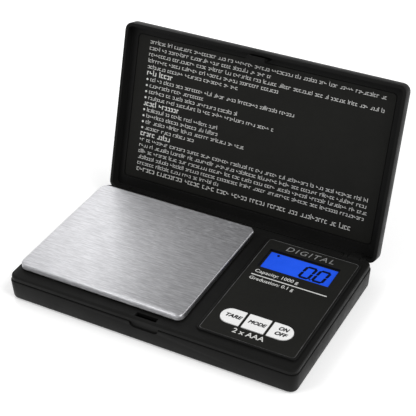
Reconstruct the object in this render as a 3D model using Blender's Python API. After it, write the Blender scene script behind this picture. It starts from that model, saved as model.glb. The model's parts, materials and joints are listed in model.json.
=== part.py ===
"""Pocket gram scale with a hinged cover, modelled open, in metres, +Z up.

Every piece is placed from the centre of the base, where the floor is z = 0. The last step shifts the
whole scale so that the world origin is the middle of the footprint that the open scale covers.
"""

from math import cos, hypot, pi, radians, sin

import bmesh
import bpy
from mathutils import Matrix, Vector

MM = 0.001

# Clearances
FIT = 0.3 * MM  # between pieces that touch
THIN_FIT = 0.1 * MM  # under glued sheets and soldered parts
BORE_FIT = 0.15 * MM  # round a pin or a screw

# Base
BASE_WIDTH = 130 * MM
BASE_DEPTH = 77 * MM
UNDERSIDE_Z = 0.6 * MM
DECK_Z = 11.9 * MM
PARTING_Z = 9.4 * MM
CORNER_R = 3.2 * MM
DRAFT = 0.45 * MM
WALL = 1.8 * MM
FLOOR = 1.4 * MM
DECK = 1.5 * MM
COVER_SETBACK = 0.35 * MM
EDGE_R = 0.8 * MM
LATCH_X = -0.6 * MM
FOOT_R = 3.5 * MM
FOOT_RECESS = 0.5 * MM
FOOT_INSET = (21 * MM, 5.5 * MM)
SCOOP_WIDTH = 13 * MM
SCOOP_HEIGHT = 2.4 * MM
SCOOP_DEPTH = 0.9 * MM
SCOOP_R = 2.1 * MM

# Control panel
PANEL_X = (19.7 * MM, 62.2 * MM)
PANEL_Y = (-33.25 * MM, 33.25 * MM)
PANEL_RISE = 1.0 * MM
PANEL_RIM = 0.8 * MM
PANEL_R = 1.8 * MM
PANEL_PLATE = 1.25 * MM
LABEL = 0.35 * MM
LABEL_SINK = 0.3 * MM
WINDOW_X = (23.8 * MM, 55.6 * MM)
WINDOW_Y = (13.1 * MM, 26.1 * MM)
GLASS_BORDER = 1.5 * MM
GLASS = 2.0 * MM
GLASS_DEPTH = 1.2 * MM
BACKLIGHT = 1.8 * MM
BOARD = 1.0 * MM
BOARD_X = (20.8 * MM, 60.2 * MM)
BOARD_Y = (-28.5 * MM, 28.8 * MM)
BOARD_SCREW_Y = -3 * MM
BOARD_SCREW_INSET = 3.6 * MM
BOARD_BOSS_R = 2.2 * MM
CONNECTOR_DEPTH = 2.2 * MM
CONTROLLER = (40 * MM, -4 * MM)
CONTROLLER_R = 4.6 * MM
CONTROLLER_SQUASH = 0.26
CONVERTER_X = (26 * MM, 36 * MM)
CONVERTER_Y = (8 * MM, 12 * MM)
CONVERTER = 1.5 * MM
CRYSTAL_X = (46 * MM, 50 * MM)
CRYSTAL_Y = (6 * MM, 16 * MM)
CRYSTAL = 2.2 * MM
CRYSTAL_R = 1.9 * MM

# Keys
KEY_ROW_X = (24.5 * MM, 55.4 * MM)
KEY_ROW_Y = (-24.9 * MM, -16.1 * MM)
KEY_GAP = 1.1 * MM
KEY_PROUD = 0.2 * MM
KEY_TRAVEL = 0.5 * MM
KEY_FLANGE = 0.7 * MM
SWITCH = 6.0 * MM
SWITCH_HEIGHT = 2.0 * MM
PLUNGER_R = 1.7 * MM
KEY_NAMES = ("tare", "mode", "power")

# Weighing platform
PAN_X = (-62.7 * MM, 13.5 * MM)
PAN_Y = (-33.0 * MM, 33.0 * MM)
PAN_RISE = 3.4 * MM
PAN_SKIRT = 2.6 * MM
PAN_SHEET = 0.5 * MM
PAN_R = 3.0 * MM
PAN_EDGE = 0.7 * MM
PLATFORM_TRAVEL = 0.4 * MM
CARRIER = 0.7 * MM
CARRIER_INSET = 3.5 * MM
CELL_LENGTH = 47 * MM
CELL_WIDTH = 12 * MM
CELL_HEIGHT = 6 * MM
CELL_BAY_GAP = 1.1 * MM
CELL_END = 12 * MM
CELL_HOLE_R = 2.1 * MM
CELL_SCREW_PITCH = 6 * MM
CELL_RAISE = 1.1 * MM
FLEXURE = 3.6 * MM
FLEXURE_SLOT = 0.8 * MM
GAUGE = (12 * MM, 8 * MM)
GAUGE_COAT = 0.4 * MM
GAUGE_R = 1.6 * MM
CARRIER_POST_ROOM = 1.5 * MM

# Batteries, two of AAA size
CELL_R = 5.25 * MM
BATTERY_LENGTH = 44.0 * MM
BATTERY_GAP = 0.5 * MM
BATTERY_LIFT = 0.4 * MM
BAY_START_X = -60.2 * MM
BAY_CENTRE_Y = 16.5 * MM
BAY_ROOM = 0.45 * MM
CONTACT_ROOM = 4.0 * MM
BAY_WALL = 1.2 * MM
ISLAND_WALL = 0.9 * MM
WIRE_WAY_INSET = 3 * MM
WIRE_WAY_DROP = 3 * MM
ISLAND_ROOF = 0.6 * MM
CONTACT = 0.4 * MM
CONTACT_HALF = 4.2 * MM
BUTTON = 0.8 * MM
BUTTON_R = 1.8 * MM
BATTERY_EDGE = 0.4 * MM
COIL_TURNS = 3
COIL_STEPS = 12
COIL_WIRE_R = 0.25 * MM
COIL_R = (3.0 * MM, 1.6 * MM)
COIL_DEPTH = 2.1 * MM
DOOR = 1.2 * MM
DOOR_TONGUE = 0.6 * MM
DOOR_LIP = 0.35 * MM
GRIP_START = 6 * MM
GRIP_PITCH = 2 * MM
GRIP_COUNT = 5
GRIP_WIDTH = 0.8 * MM
GRIP_HALF = 6 * MM
GRIP_DEPTH = 0.3 * MM

# Lid
LID_HEADROOM = 1.8 * MM
LID_WALL = 1.5 * MM
LID_SKIN = 1.5 * MM
LID_LEDGE = 3.2 * MM
LID_HINGE_LEDGE = 4.1 * MM
LID_HINGE_GAP = 0.9 * MM
LID_LEDGE_STEP = 0.5 * MM
LID_LEAN = radians(16.65)
LID_SHEET = 0.3 * MM
LID_R = 3.4 * MM
LID_EDGE = 1.1 * MM
HINGE_INSET = 0.384 * MM
HINGE_DROP = 0.063 * MM
PIN_R = 0.8 * MM
KNUCKLE_R = 2.0 * MM
KNUCKLE = 1.7 * MM
LUG_INSET = 6.0 * MM
LUG = 5.0 * MM
HOOK_WIDTH = 8.4 * MM
HOOK = 1.4 * MM
HOOK_REACH = 2.5 * MM
HOOK_BARB = 0.45 * MM
HOOK_INSET = 2.8 * MM
SLOT_WIDTH = 9.6 * MM
SLOT_DEPTH = 2.3 * MM

# Screws
CASE_SCREW_INSET = (6.5 * MM, 6.2 * MM)
SCREW_R = 0.9 * MM
SCREW_HEAD_R = 1.9 * MM
SCREW_HEAD = 1.0 * MM
CELL_SCREW_R = 1.3 * MM
CELL_SCREW_HEAD_R = 2.4 * MM
POST_WALL = 1.2 * MM
CASE_BOSS_R = 2.6 * MM

# Wires
LEAD_R = 0.55 * MM
CABLE_R = 0.8 * MM
LEAD_FAR_Y = (16 * MM, 22 * MM)

# Sizes that follow from the ones above
HALF_W = BASE_WIDTH / 2
HALF_D = BASE_DEPTH / 2
FOOT_PLACE = (HALF_W - FOOT_INSET[0], HALF_D - FOOT_INSET[1])
CASE_SCREW_PLACE = (HALF_W - CASE_SCREW_INSET[0], HALF_D - CASE_SCREW_INSET[1])
HINGE_Y = HALF_D - HINGE_INSET
HINGE_Z = PARTING_Z - HINGE_DROP
LUG_X = (HALF_W - LUG_INSET - LUG, HALF_W - LUG_INSET)
HOOK_Y = HOOK_INSET - HALF_D
FLOOR_Z = UNDERSIDE_Z + FLOOR
DECK_UNDER_Z = DECK_Z - DECK
PANEL_TOP_Z = DECK_Z + PANEL_RISE
LABEL_TOP_Z = PANEL_TOP_Z - LABEL_SINK
LABEL_SEAT_Z = LABEL_TOP_Z - LABEL - THIN_FIT
PANEL_UNDER_Z = LABEL_SEAT_Z - PANEL_PLATE
GLASS_TOP_Z = LABEL_TOP_Z - GLASS_DEPTH
GLASS_Z = GLASS_TOP_Z - GLASS
BACKLIGHT_Z = GLASS_Z - THIN_FIT - BACKLIGHT
BOARD_TOP_Z = BACKLIGHT_Z - THIN_FIT
BOARD_Z = BOARD_TOP_Z - BOARD
SWITCH_TOP_Z = BOARD_TOP_Z + THIN_FIT + SWITCH_HEIGHT
FLANGE_TOP_Z = PANEL_UNDER_Z - BORE_FIT
FLANGE_Z = FLANGE_TOP_Z - KEY_FLANGE
KEY_TOP_Z = LABEL_TOP_Z + KEY_PROUD
CELL_Z = FLOOR_Z + CELL_RAISE
CELL_TOP_Z = CELL_Z + CELL_HEIGHT
BATTERY_PITCH = 2 * CELL_R + BATTERY_GAP
BATTERY_Z = UNDERSIDE_Z + DOOR + BATTERY_LIFT + CELL_R
BAY_HALF_DEPTH = BATTERY_PITCH / 2 + CELL_R + BAY_ROOM
BAY_X = (BAY_START_X, BAY_START_X + BATTERY_LENGTH + CONTACT_ROOM)
BAY_Y = (BAY_CENTRE_Y - BAY_HALF_DEPTH, BAY_CENTRE_Y + BAY_HALF_DEPTH)
ISLAND_UNDER_Z = BATTERY_Z + CELL_R + THIN_FIT
ISLAND_TOP_Z = ISLAND_UNDER_Z + ISLAND_ROOF
PLATFORM_ROOM = PLATFORM_TRAVEL + CARRIER + 3 * THIN_FIT + PAN_SHEET
PAN_TOP_Z = max(DECK_Z + PAN_RISE, ISLAND_TOP_Z + PLATFORM_ROOM)
PAN_UNDER_Z = PAN_TOP_Z - PAN_SHEET
CARRIER_TOP_Z = PAN_UNDER_Z - 2 * THIN_FIT
CARRIER_Z = CARRIER_TOP_Z - CARRIER
POST_Z = CELL_TOP_Z + PLATFORM_TRAVEL + THIN_FIT
PAN_CENTRE_X = sum(PAN_X) / 2
CELL_CENTRE_Y = BAY_Y[0] - BAY_WALL - CELL_BAY_GAP - CELL_WIDTH / 2
CELL_X = (PAN_CENTRE_X - CELL_LENGTH / 2, PAN_CENTRE_X + CELL_LENGTH / 2)
CELL_Y = (CELL_CENTRE_Y - CELL_WIDTH / 2, CELL_CENTRE_Y + CELL_WIDTH / 2)
LID_RIM_Z = DECK_Z + FIT
LID_DEPTH = PAN_TOP_Z - LID_RIM_Z + LID_HEADROOM + LID_SKIN
LID_SWING = radians(90) + LID_LEAN

PARTS = "pocket gram scale"
CUTTERS = "cutters"


# ---------------------------------------------------------------- scene and materials

def clear_scene():
    for obj in list(bpy.data.objects):
        bpy.data.objects.remove(obj)
    for name in (PARTS, CUTTERS):
        collection = bpy.data.collections.new(name)
        bpy.context.scene.collection.children.link(collection)


def material(name, colour, roughness, metallic=0.0):
    made = bpy.data.materials.new(name)
    made.use_nodes = True
    shader = made.node_tree.nodes["Principled BSDF"]
    shader.inputs["Base Color"].default_value = (*colour, 1)
    shader.inputs["Roughness"].default_value = roughness
    shader.inputs["Metallic"].default_value = metallic
    return made


def make_materials():
    return {
        "case": material("black satin plastic", (0.012, 0.012, 0.011), 0.42),
        "panel": material("printed black sheet", (0.018, 0.018, 0.017), 0.6),
        "key": material("white key plastic", (0.85, 0.85, 0.85), 0.4),
        "steel": material("brushed stainless steel", (0.62, 0.62, 0.63), 0.32, 1.0),
        "aluminium": material("machined aluminium", (0.7, 0.7, 0.72), 0.35, 1.0),
        "rubber": material("black rubber", (0.02, 0.02, 0.02), 0.85),
        "display": material("blue display glass", (0.02, 0.1, 0.8), 0.15),
        "diffuser": material("milky light guide", (0.8, 0.85, 0.95), 0.4),
        "board": material("green circuit board", (0.01, 0.12, 0.05), 0.45),
        "chip": material("black epoxy", (0.015, 0.015, 0.015), 0.5),
        "can": material("battery jacket", (0.25, 0.27, 0.3), 0.35, 0.6),
        "inner": material("grey inner plastic", (0.05, 0.05, 0.055), 0.55),
        "red_wire": material("red wire jacket", (0.5, 0.02, 0.02), 0.5),
        "black_wire": material("black wire jacket", (0.02, 0.02, 0.02), 0.5),
        "grey_wire": material("grey lead jacket", (0.3, 0.3, 0.31), 0.5),
        "gauge": material("gauge sealant", (0.75, 0.75, 0.7), 0.6),
    }


# ---------------------------------------------------------------- shapes

def mesh_object(name, bm, look=None, parent=None):
    """A finished bmesh as an object: a part when it has a look, else a cutter or an addition."""
    bmesh.ops.recalc_face_normals(bm, faces=bm.faces)
    mesh = bpy.data.meshes.new(name)
    bm.to_mesh(mesh)
    bm.free()
    obj = bpy.data.objects.new(name, mesh)
    bpy.data.collections[PARTS if look else CUTTERS].objects.link(obj)
    if look:
        mesh.materials.append(look)
        mesh.shade_smooth()
        mesh.set_sharp_from_angle(angle=radians(30))
    else:
        obj.hide_render = True
        obj.display_type = "WIRE"
    obj.parent = parent or bpy.data.objects["scale_frame"]
    return obj


def frame(name, location, parent=None, turn=0.0):
    """An empty that carries the pieces turning about, or sliding along, one axis."""
    empty = bpy.data.objects.new(name, None)
    bpy.data.collections[PARTS].objects.link(empty)
    empty.empty_display_size = 5 * MM
    empty.location = location
    empty.rotation_euler.x = turn
    empty.parent = parent
    return empty


def block(x, y, z):
    """A box between three pairs of limits."""
    bm = bmesh.new()
    bmesh.ops.create_cube(bm, size=1)
    size = Vector((x[1] - x[0], y[1] - y[0], z[1] - z[0]))
    centre = Vector((sum(x) / 2, sum(y) / 2, sum(z) / 2))
    bmesh.ops.scale(bm, vec=size, verts=bm.verts)
    bmesh.ops.translate(bm, vec=centre, verts=bm.verts)
    return bm


def upright(edge):
    along = edge.verts[1].co - edge.verts[0].co
    return abs(along.z) > 2 * hypot(along.x, along.y)


def round_edges(bm, edges, radius, segments):
    bmesh.ops.bevel(bm, geom=edges, offset=radius, segments=segments, profile=0.5, affect="EDGES")


def level_edges(bm, z):
    return [e for e in bm.edges if all(abs(v.co.z - z) < 1e-6 for v in e.verts)]


def slab(x, y, z, corner, top_edge=0.0, bottom_edge=0.0, taper=0.0, segments=4):
    """A box with round upright corners, and optionally rounded rims and sides that draw in downwards."""
    bm = block(x, y, z)
    for vert in bm.verts:
        if abs(vert.co.z - z[0]) < 1e-6:
            vert.co.x -= taper if vert.co.x > sum(x) / 2 else -taper
            vert.co.y -= taper if vert.co.y > sum(y) / 2 else -taper
    round_edges(bm, [e for e in bm.edges if upright(e)], corner, segments)
    if top_edge:
        round_edges(bm, level_edges(bm, z[1]), top_edge, 2)
    if bottom_edge:
        round_edges(bm, level_edges(bm, z[0]), bottom_edge, 2)
    return bm


def rod(centre, radius, length, axis="Z", sides=20, tip_radius=None):
    """A cylinder or cone from its centre, along X, Y or Z."""
    bm = bmesh.new()
    far = radius if tip_radius is None else tip_radius
    bmesh.ops.create_cone(
        bm, cap_ends=True, segments=sides, radius1=radius, radius2=far, depth=length
    )
    turn = {"X": Matrix.Rotation(pi / 2, 3, "Y"), "Y": Matrix.Rotation(-pi / 2, 3, "X")}
    if axis in turn:
        bmesh.ops.rotate(bm, matrix=turn[axis], verts=bm.verts)
    bmesh.ops.translate(bm, vec=Vector(centre), verts=bm.verts)
    return bm


def post(x, y, z, radius, sides=20):
    """An upright cylinder between two heights."""
    return rod((x, y, sum(z) / 2), radius, z[1] - z[0], sides=sides)


def combine(target, label, shape, operation):
    """Cuts a shape from a piece, or joins it to the piece."""
    helper = mesh_object(f"{target.name}.{label}", shape, parent=target.parent)
    step = target.modifiers.new(label, "BOOLEAN")
    step.object = helper
    step.operation = operation
    step.solver = "EXACT"
    return helper


def cut(target, label, shape):
    return combine(target, label, shape, "DIFFERENCE")


def join(target, label, shape):
    return combine(target, label, shape, "UNION")


def tube(name, points, radius, look, sides=2):
    """A wire along a smooth route through its points."""
    curve = bpy.data.curves.new(name, "CURVE")
    curve.dimensions = "3D"
    curve.bevel_depth = radius
    curve.bevel_resolution = sides
    curve.use_fill_caps = True
    curve.materials.append(look)
    spline = curve.splines.new("POLY")
    smooth = smooth_route(points)
    spline.points.add(len(smooth) - 1)
    for point, place in zip(spline.points, smooth):
        point.co = (*place, 1)
    obj = bpy.data.objects.new(name, curve)
    bpy.data.collections[PARTS].objects.link(obj)
    obj.parent = bpy.data.objects["scale_frame"]
    return obj


def smooth_route(points, steps=5):
    """Points on a Catmull-Rom curve through the route's own points."""
    spots = [Vector(p) for p in points]
    spots = [2 * spots[0] - spots[1], *spots, 2 * spots[-1] - spots[-2]]
    route = []
    for a, b, c, d in zip(spots, spots[1:], spots[2:], spots[3:]):
        for step in range(steps):
            t = step / steps
            route.append(
                0.5 * (2 * b + (c - a) * t + (2 * a - 5 * b + 4 * c - d) * t**2)
                + 0.5 * (3 * b - a - 3 * c + d) * t**3
            )
    route.append(spots[-2])
    return route


# ---------------------------------------------------------------- base

def corners(x, y):
    return [(sx * x, sy * y) for sx in (-1, 1) for sy in (-1, 1)]


def screw(name, x, y, head_z, tip_z, radius, head_radius, look, head_below=True, parent=None):
    """A pan-head screw, its head at one end and a cross recess in it."""
    low, high = min(head_z, tip_z), max(head_z, tip_z)
    offset = parent.location if parent else Vector((0, 0, 0))
    x, y, low, high = x - offset.x, y - offset.y, low - offset.z, high - offset.z
    head = (low, low + SCREW_HEAD) if head_below else (high - SCREW_HEAD, high)
    made = mesh_object(name, post(x, y, (low, high), radius, 12), look, parent)
    join(made, "head", post(x, y, head, head_radius, 16))
    recess = (head[0] - FIT, head[0] + SCREW_HEAD / 2)
    if not head_below:
        recess = (head[1] - SCREW_HEAD / 2, head[1] + FIT)
    arm, half = head_radius * 0.6, head_radius * 0.13
    cut(made, "recess_x", block((x - arm, x + arm), (y - half, y + half), recess))
    cut(made, "recess_y", block((x - half, x + half), (y - arm, y + arm), recess))
    return made


def cell_screw_xs(free):
    """Where the two screws of one end of the load cell stand."""
    middle = CELL_X[1] - CELL_END / 2 if free else CELL_X[0] + CELL_END / 2
    return (middle - CELL_SCREW_PITCH / 2, middle + CELL_SCREW_PITCH / 2)


def bottom_shell(look):
    shell = mesh_object(
        "bottom_shell",
        slab(
            (-HALF_W, HALF_W), (-HALF_D, HALF_D), (UNDERSIDE_Z, PARTING_Z), CORNER_R,
            bottom_edge=EDGE_R, top_edge=EDGE_R / 2, taper=DRAFT,
        ),
        look,
    )
    inner_x, inner_y = HALF_W - WALL - DRAFT, HALF_D - WALL - DRAFT
    above = PARTING_Z + WALL
    cut(shell, "hollow", slab((-inner_x, inner_x), (-inner_y, inner_y), (FLOOR_Z, above),
                              CORNER_R - WALL, segments=2))
    bay_out_x = (BAY_X[0] - BAY_WALL, BAY_X[1] + BAY_WALL)
    bay_out_y = (BAY_Y[0] - BAY_WALL, BAY_Y[1] + BAY_WALL)
    bay_z = (FLOOR_Z - FLOOR / 2, PARTING_Z - FIT)
    join(shell, "bay", block(bay_out_x, bay_out_y, bay_z))
    cut(shell, "bay_inside", block(BAY_X, BAY_Y, (UNDERSIDE_Z - FIT, above)))
    wire_y = (BAY_Y[0] + WIRE_WAY_INSET, BAY_Y[1] - WIRE_WAY_INSET)
    cut(shell, "wire_way", block((BAY_X[1] - FIT, BAY_X[1] + 2 * BAY_WALL), wire_y,
                                 (PARTING_Z - WIRE_WAY_DROP, above)))
    rebate_y = (BAY_Y[0] - DOOR_TONGUE - BORE_FIT, BAY_Y[1] + DOOR_TONGUE + BORE_FIT)
    door_x = (-HALF_W - WALL, BAY_X[1])
    cut(shell, "door_way", block(door_x, BAY_Y, (UNDERSIDE_Z - FIT, FLOOR_Z)))
    cut(shell, "door_rebate", block(door_x, rebate_y, (UNDERSIDE_Z + DOOR_LIP, FLOOR_Z)))
    join(shell, "cell_seat", block((CELL_X[0], CELL_X[0] + CELL_END), CELL_Y,
                                   (FLOOR_Z - FLOOR / 2, CELL_Z - FIT)))
    for index, x in enumerate(cell_screw_xs(free=False)):
        cut(shell, f"cell_screw_{index}", post(x, CELL_CENTRE_Y, (0, CELL_Z), CELL_SCREW_R + BORE_FIT))
        cut(shell, f"cell_head_{index}", post(x, CELL_CENTRE_Y, (0, UNDERSIDE_Z + 1.5 * SCREW_HEAD),
                                              CELL_SCREW_HEAD_R + FIT))
    for index, (x, y) in enumerate(corners(*CASE_SCREW_PLACE)):
        seat = (FLOOR_Z - FLOOR / 2, FLOOR_Z + SCREW_HEAD)
        join(shell, f"screw_post_{index}", post(x, y, seat, SCREW_HEAD_R + POST_WALL))
        cut(shell, f"screw_hole_{index}", post(x, y, (0, FLOOR_Z + 2 * SCREW_HEAD), SCREW_R + BORE_FIT))
        cut(shell, f"screw_head_{index}", post(x, y, (0, UNDERSIDE_Z + 1.5 * SCREW_HEAD),
                                               SCREW_HEAD_R + FIT))
    for index, (x, y) in enumerate(corners(*FOOT_PLACE)):
        cut(shell, f"foot_{index}", post(x, y, (0, UNDERSIDE_Z + FOOT_RECESS), FOOT_R + FIT / 2, 24))
    cut(shell, "thumb_scoop", scoop())
    for side in (-1, 1):
        lug = sorted((side * (LUG_X[0] - FIT), side * (LUG_X[1] + FIT)))
        reach = (HINGE_Y - KNUCKLE_R - FIT, HALF_D + WALL)
        ends = sorted((side * (LUG_X[0] - FIT - KNUCKLE), side * (LUG_X[1] + FIT + KNUCKLE)))
        middle = sum(ends) / 2
        knuckles = rod((middle, HINGE_Y, HINGE_Z), KNUCKLE_R, ends[1] - ends[0], "X", 24)
        join(shell, f"knuckles_{side}", knuckles)
        cut(shell, f"lug_way_{side}", block(lug, reach, (HINGE_Z - KNUCKLE_R - FIT, DECK_Z)))
        bore_from = side * (LUG_X[0] - KNUCKLE)
        bore_to = side * (LUG_X[1] + 2 * FIT + KNUCKLE)
        bore = rod(((bore_from + bore_to) / 2, HINGE_Y, HINGE_Z), PIN_R + BORE_FIT,
                   abs(bore_to - bore_from), "X", 16)
        cut(shell, f"pin_bore_{side}", bore)
    return shell


def scoop():
    """The thumb recess in the middle of the front, open at the parting line, with round lower corners."""
    x = (LATCH_X - SCOOP_WIDTH / 2, LATCH_X + SCOOP_WIDTH / 2)
    shape = block(x, (-HALF_D - SCOOP_DEPTH, -HALF_D + SCOOP_DEPTH),
                  (PARTING_Z - SCOOP_HEIGHT, PARTING_Z + SCOOP_HEIGHT))
    lower = level_edges(shape, PARTING_Z - SCOOP_HEIGHT)
    sides = [e for e in lower if abs(e.verts[0].co.x - e.verts[1].co.x) < 1e-6]
    round_edges(shape, sides, SCOOP_R, 6)
    return shape


def top_cover(look):
    out_x, out_y = HALF_W - COVER_SETBACK, HALF_D - COVER_SETBACK
    cover = mesh_object(
        "top_cover",
        slab((-out_x, out_x), (-out_y, out_y), (PARTING_Z + FIT, DECK_Z), CORNER_R, top_edge=EDGE_R),
        look,
    )
    join(cover, "plinth", slab(PANEL_X, PANEL_Y, (DECK_UNDER_Z, PANEL_TOP_Z), PANEL_R,
                               top_edge=EDGE_R / 3))
    island_x = (BAY_X[0] - ISLAND_WALL, BAY_X[1] + ISLAND_WALL)
    island_y = (BAY_Y[0] - ISLAND_WALL, BAY_Y[1] + ISLAND_WALL)
    join(cover, "battery_roof", slab(island_x, island_y, (DECK_UNDER_Z, ISLAND_TOP_Z), BAY_WALL))
    inner_x, inner_y = out_x - WALL, out_y - WALL
    below = PARTING_Z - WALL
    cut(cover, "hollow", slab((-inner_x, inner_x), (-inner_y, inner_y), (below, DECK_UNDER_Z),
                              CORNER_R - WALL, segments=2))
    cut(cover, "battery_room", block(BAY_X, BAY_Y, (below, ISLAND_UNDER_Z)))
    inside = PANEL_RIM + PANEL_RIM / 2
    cut(cover, "panel_room", block((PANEL_X[0] + inside, PANEL_X[1] - inside),
                                   (PANEL_Y[0] + inside, PANEL_Y[1] - inside),
                                   (below, PANEL_UNDER_Z)))
    cut(cover, "label_seat", slab(label_x(0), label_y(0), (LABEL_SEAT_Z, PANEL_TOP_Z + WALL),
                                  PANEL_R - PANEL_RIM / 2))
    cut(cover, "window", block(WINDOW_X, WINDOW_Y, (PANEL_UNDER_Z - FIT, PANEL_TOP_Z)))
    cut(cover, "glass_pocket", block(glass_x(FIT), glass_y(FIT), (below, GLASS_TOP_Z + THIN_FIT)))
    cut(cover, "key_opening", pill(FIT, (PANEL_UNDER_Z - FIT, PANEL_TOP_Z)))
    slot_x = (LATCH_X - SLOT_WIDTH / 2, LATCH_X + SLOT_WIDTH / 2)
    slot_y = (HOOK_Y - SLOT_DEPTH / 2, HOOK_Y + SLOT_DEPTH / 2)
    cut(cover, "latch_slot", block(slot_x, slot_y, (below, PANEL_TOP_Z)))
    room = CARRIER_POST_ROOM
    cut(cover, "post_hole", block((CELL_X[1] - CELL_END - room, CELL_X[1] + room),
                                  (CELL_Y[0] - room, min(CELL_Y[1] + room, island_y[0])),
                                  (below, PANEL_TOP_Z)))
    for index, (x, y) in enumerate(corners(*CASE_SCREW_PLACE)):
        boss = (FLOOR_Z + SCREW_HEAD + FIT, DECK_UNDER_Z + FIT)
        join(cover, f"screw_boss_{index}", post(x, y, boss, CASE_BOSS_R))
        cut(cover, f"pilot_{index}", post(x, y, (0, PARTING_Z + FIT), SCREW_R + BORE_FIT, 12))
    for index, x in enumerate(board_screw_xs()):
        boss = (BOARD_TOP_Z + THIN_FIT, PANEL_UNDER_Z + FIT)
        join(cover, f"board_boss_{index}", post(x, BOARD_SCREW_Y, boss, BOARD_BOSS_R))
        cut(cover, f"board_pilot_{index}", post(x, BOARD_SCREW_Y, (0, PANEL_UNDER_Z - FIT),
                                                SCREW_R + BORE_FIT, 12))
    for side in (-1, 1):
        ends = sorted((side * (LUG_X[0] - 2 * FIT - KNUCKLE), side * (LUG_X[1] + 2 * FIT + KNUCKLE)))
        cut(cover, f"hinge_notch_{side}", block(ends, (HINGE_Y - KNUCKLE_R - FIT, HALF_D + WALL),
                                                (below, PANEL_TOP_Z)))
    return cover


def label_x(gap):
    return (PANEL_X[0] + PANEL_RIM + gap, PANEL_X[1] - PANEL_RIM - gap)


def label_y(gap):
    return (PANEL_Y[0] + PANEL_RIM + gap, PANEL_Y[1] - PANEL_RIM - gap)


def glass_x(gap):
    return (WINDOW_X[0] - GLASS_BORDER - gap, WINDOW_X[1] + GLASS_BORDER + gap)


def glass_y(gap):
    return (WINDOW_Y[0] - GLASS_BORDER - gap, WINDOW_Y[1] + GLASS_BORDER + gap)


def pill(grow, z):
    """The round-ended outline of the row of keys, grown all round."""
    x = (KEY_ROW_X[0] - grow, KEY_ROW_X[1] + grow)
    y = (KEY_ROW_Y[0] - grow, KEY_ROW_Y[1] + grow)
    return slab(x, y, z, (y[1] - y[0]) / 2 * 0.98, segments=8)


def board_screw_xs():
    return (BOARD_X[0] + BOARD_SCREW_INSET, BOARD_X[1] - BOARD_SCREW_INSET)


# ---------------------------------------------------------------- panel, display and keys

def panel_label(look):
    label = mesh_object("panel_label", slab(label_x(THIN_FIT), label_y(THIN_FIT),
                                            (LABEL_TOP_Z - LABEL, LABEL_TOP_Z),
                                            PANEL_R - PANEL_RIM / 2), look)
    cut(label, "window", block(WINDOW_X, WINDOW_Y, (PANEL_UNDER_Z, PANEL_TOP_Z)))
    cut(label, "keys", pill(FIT, (PANEL_UNDER_Z, PANEL_TOP_Z)))


def display(looks):
    mesh_object("display_glass", block(glass_x(0), glass_y(0), (GLASS_Z, GLASS_TOP_Z)), looks["display"])
    guide_y = (glass_y(0)[0] + CONNECTOR_DEPTH + 2 * FIT, glass_y(0)[1])
    mesh_object("display_backlight", block(glass_x(0), guide_y, (BACKLIGHT_Z, BACKLIGHT_Z + BACKLIGHT)),
                looks["diffuser"])
    strip_y = (glass_y(0)[0], glass_y(0)[0] + CONNECTOR_DEPTH)
    strip_z = (BOARD_TOP_Z + THIN_FIT, GLASS_Z - THIN_FIT)
    mesh_object("display_connector", block(glass_x(0), strip_y, strip_z), looks["rubber"])


def circuit_board(looks):
    board = mesh_object("circuit_board", block(BOARD_X, BOARD_Y, (BOARD_Z, BOARD_TOP_Z)), looks["board"])
    for index, x in enumerate(board_screw_xs()):
        cut(board, f"hole_{index}", post(x, BOARD_SCREW_Y, (0, DECK_Z), SCREW_R + BORE_FIT))
        screw(f"board_screw_{'left' if index == 0 else 'right'}", x, BOARD_SCREW_Y,
              BOARD_Z - FIT - SCREW_HEAD, PANEL_UNDER_Z - 3 * FIT, SCREW_R, SCREW_HEAD_R, looks["steel"])
    under = BOARD_Z - THIN_FIT
    drop = bmesh.new()
    bmesh.ops.create_uvsphere(drop, u_segments=20, v_segments=10, radius=CONTROLLER_R)
    bmesh.ops.scale(drop, vec=(1, 1, CONTROLLER_SQUASH), verts=drop.verts)
    flat = bmesh.ops.bisect_plane(drop, geom=[*drop.verts, *drop.edges, *drop.faces],
                                  plane_co=(0, 0, 0), plane_no=(0, 0, 1), clear_outer=True)
    rim = [part for part in flat["geom_cut"] if isinstance(part, bmesh.types.BMEdge)]
    bmesh.ops.contextual_create(drop, geom=rim)
    bmesh.ops.translate(drop, vec=(*CONTROLLER, under), verts=drop.verts)
    mesh_object("controller_chip", drop, looks["chip"])
    mesh_object("converter_chip", block(CONVERTER_X, CONVERTER_Y, (under - CONVERTER, under)),
                looks["chip"])
    mesh_object("crystal", slab(CRYSTAL_X, CRYSTAL_Y, (under - CRYSTAL, under), CRYSTAL_R),
                looks["steel"])


def key_limits(index):
    pitch = (KEY_ROW_X[1] - KEY_ROW_X[0] + KEY_GAP) / len(KEY_NAMES)
    start = KEY_ROW_X[0] + index * pitch
    return (start, start + pitch - KEY_GAP)


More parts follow.
